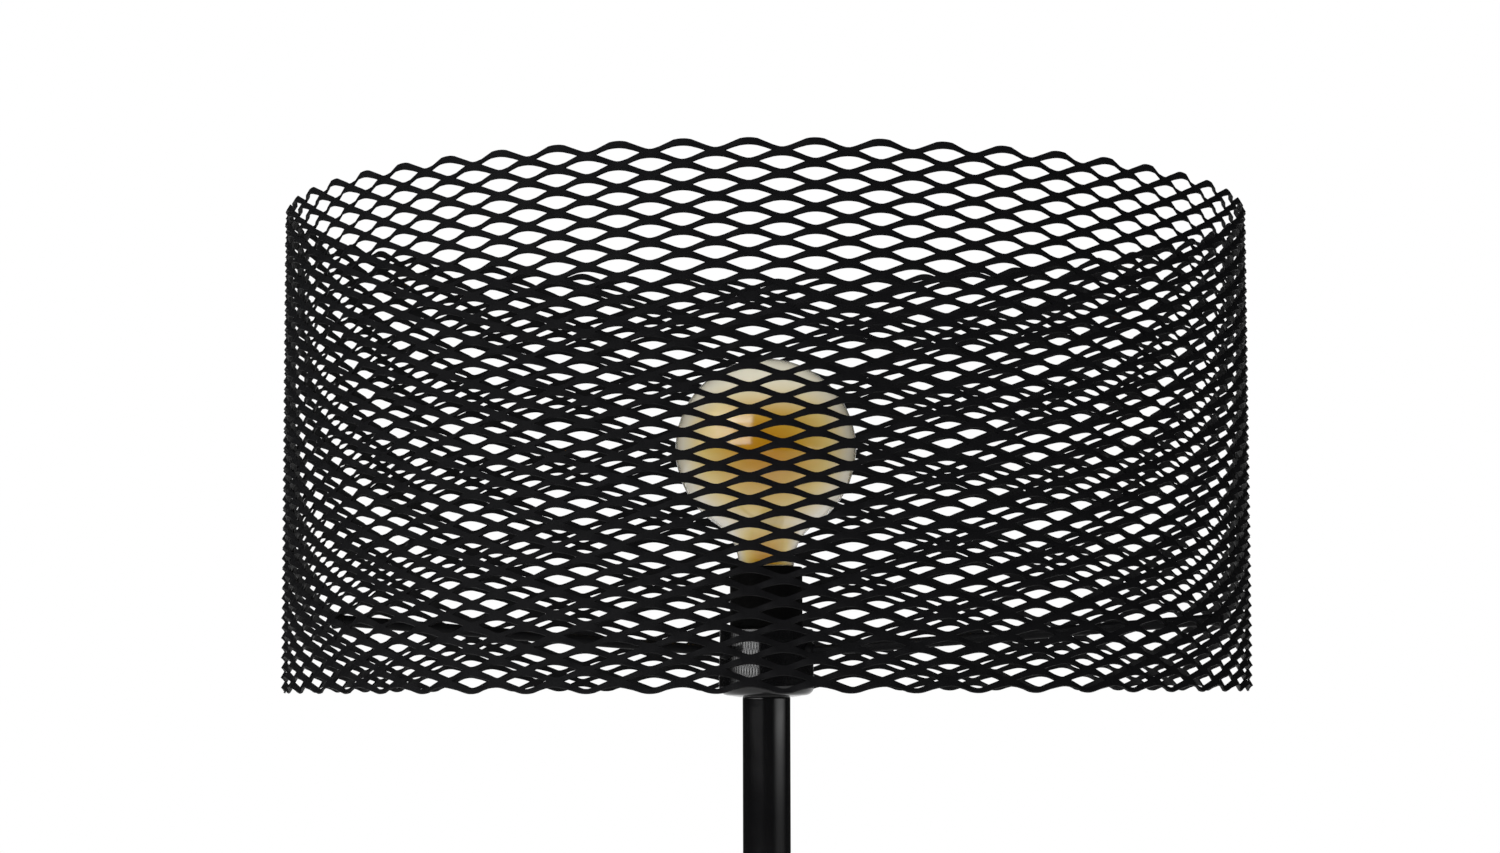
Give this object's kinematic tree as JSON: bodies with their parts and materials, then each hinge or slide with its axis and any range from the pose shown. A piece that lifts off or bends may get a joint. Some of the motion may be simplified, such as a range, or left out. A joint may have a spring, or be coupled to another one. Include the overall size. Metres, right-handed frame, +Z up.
{
  "type": "floor lamp",
  "caption": "Floor lamp: screwed tube pole on a round weighted base, open drum shade of expanded metal on spider arms, round amber screw-in bulb.",
  "frame": {"origin": "middle of the base, on the floor", "axes": "+Z up along the pole; +Y towards the back, where the cable enters the base; -Y is the front"},
  "size_m": [0.5, 0.5, 1.5998],
  "materials": {
    "black_matt": "matt black powder coat on steel",
    "black_gloss": "gloss black lacquer on steel",
    "iron": "as cast, grey primer",
    "zinc": "bright zinc plate",
    "foam": "closed-cell foam",
    "holder_black": "matt black phenolic",
    "core_white": "glazed",
    "brass": "plain sheet",
    "amber_glass": "clear amber",
    "clear_glass": "clear",
    "nickel": "nickel plate",
    "cap_black": "fused black insulator",
    "solder": "soft solder",
    "phosphor": "yellow phosphor coat"
  },
  "bodies": {
    "lamp": {"base_cover": "black_gloss", "base_nipple": "zinc", "base_nut": "zinc", "base_pad": "foam", "base_spring_washer": "zinc", "base_weight": "iron", "cable_gland": "holder_black", "centre_contact": "brass", "foot_collar": "black_gloss", "head_nipple": "zinc", "holder_body": "holder_black", "holder_core": "core_white", "holder_lock_screw": "zinc", "holder_skirt": "holder_black", "hub_cup": "black_gloss", "hub_nut": "zinc", "hub_washer": "zinc", "lower_tube": "black_gloss", "lower_tube_foot_bush": "zinc", "lower_tube_head_bush": "zinc", "middle_joint_nipple": "zinc", "middle_tube": "black_gloss", "middle_tube_foot_bush": "zinc", "middle_tube_head_bush": "zinc", "screw_shell": "brass", "shade_mesh": "black_matt", "side_contact": "brass", "spider_arms": "black_matt", "terminal_blocks": "brass", "terminal_screws": "zinc", "upper_joint_nipple": "zinc", "upper_tube": "black_gloss", "upper_tube_foot_bush": "zinc", "upper_tube_head_bush": "zinc"},
    "bulb_foot": {"bulb_cap_insulator": "cap_black", "bulb_tip": "solder"},
    "bulb": {"bulb_glass": "amber_glass", "bulb_cap": "nickel", "bulb_stem": "clear_glass", "support_wires": "nickel", "filaments": "phosphor"}
  },
  "joints": [
    {"name": "bulb_rise", "type": "slide", "parent": "lamp", "child": "bulb_foot", "axis": [0, 0, 1], "range_m": [0, 0.0182]},
    {"name": "bulb_turn", "type": "hinge", "parent": "bulb_foot", "child": "bulb", "pos_m": [0, 0, 1.3896], "axis": [0, 0, 1], "range_deg": [0, 1800]}
  ],
  "couplings": [
    {"joint": "bulb_rise", "follows": "bulb_turn", "m_per_rad": 0.00057614}
  ]
}
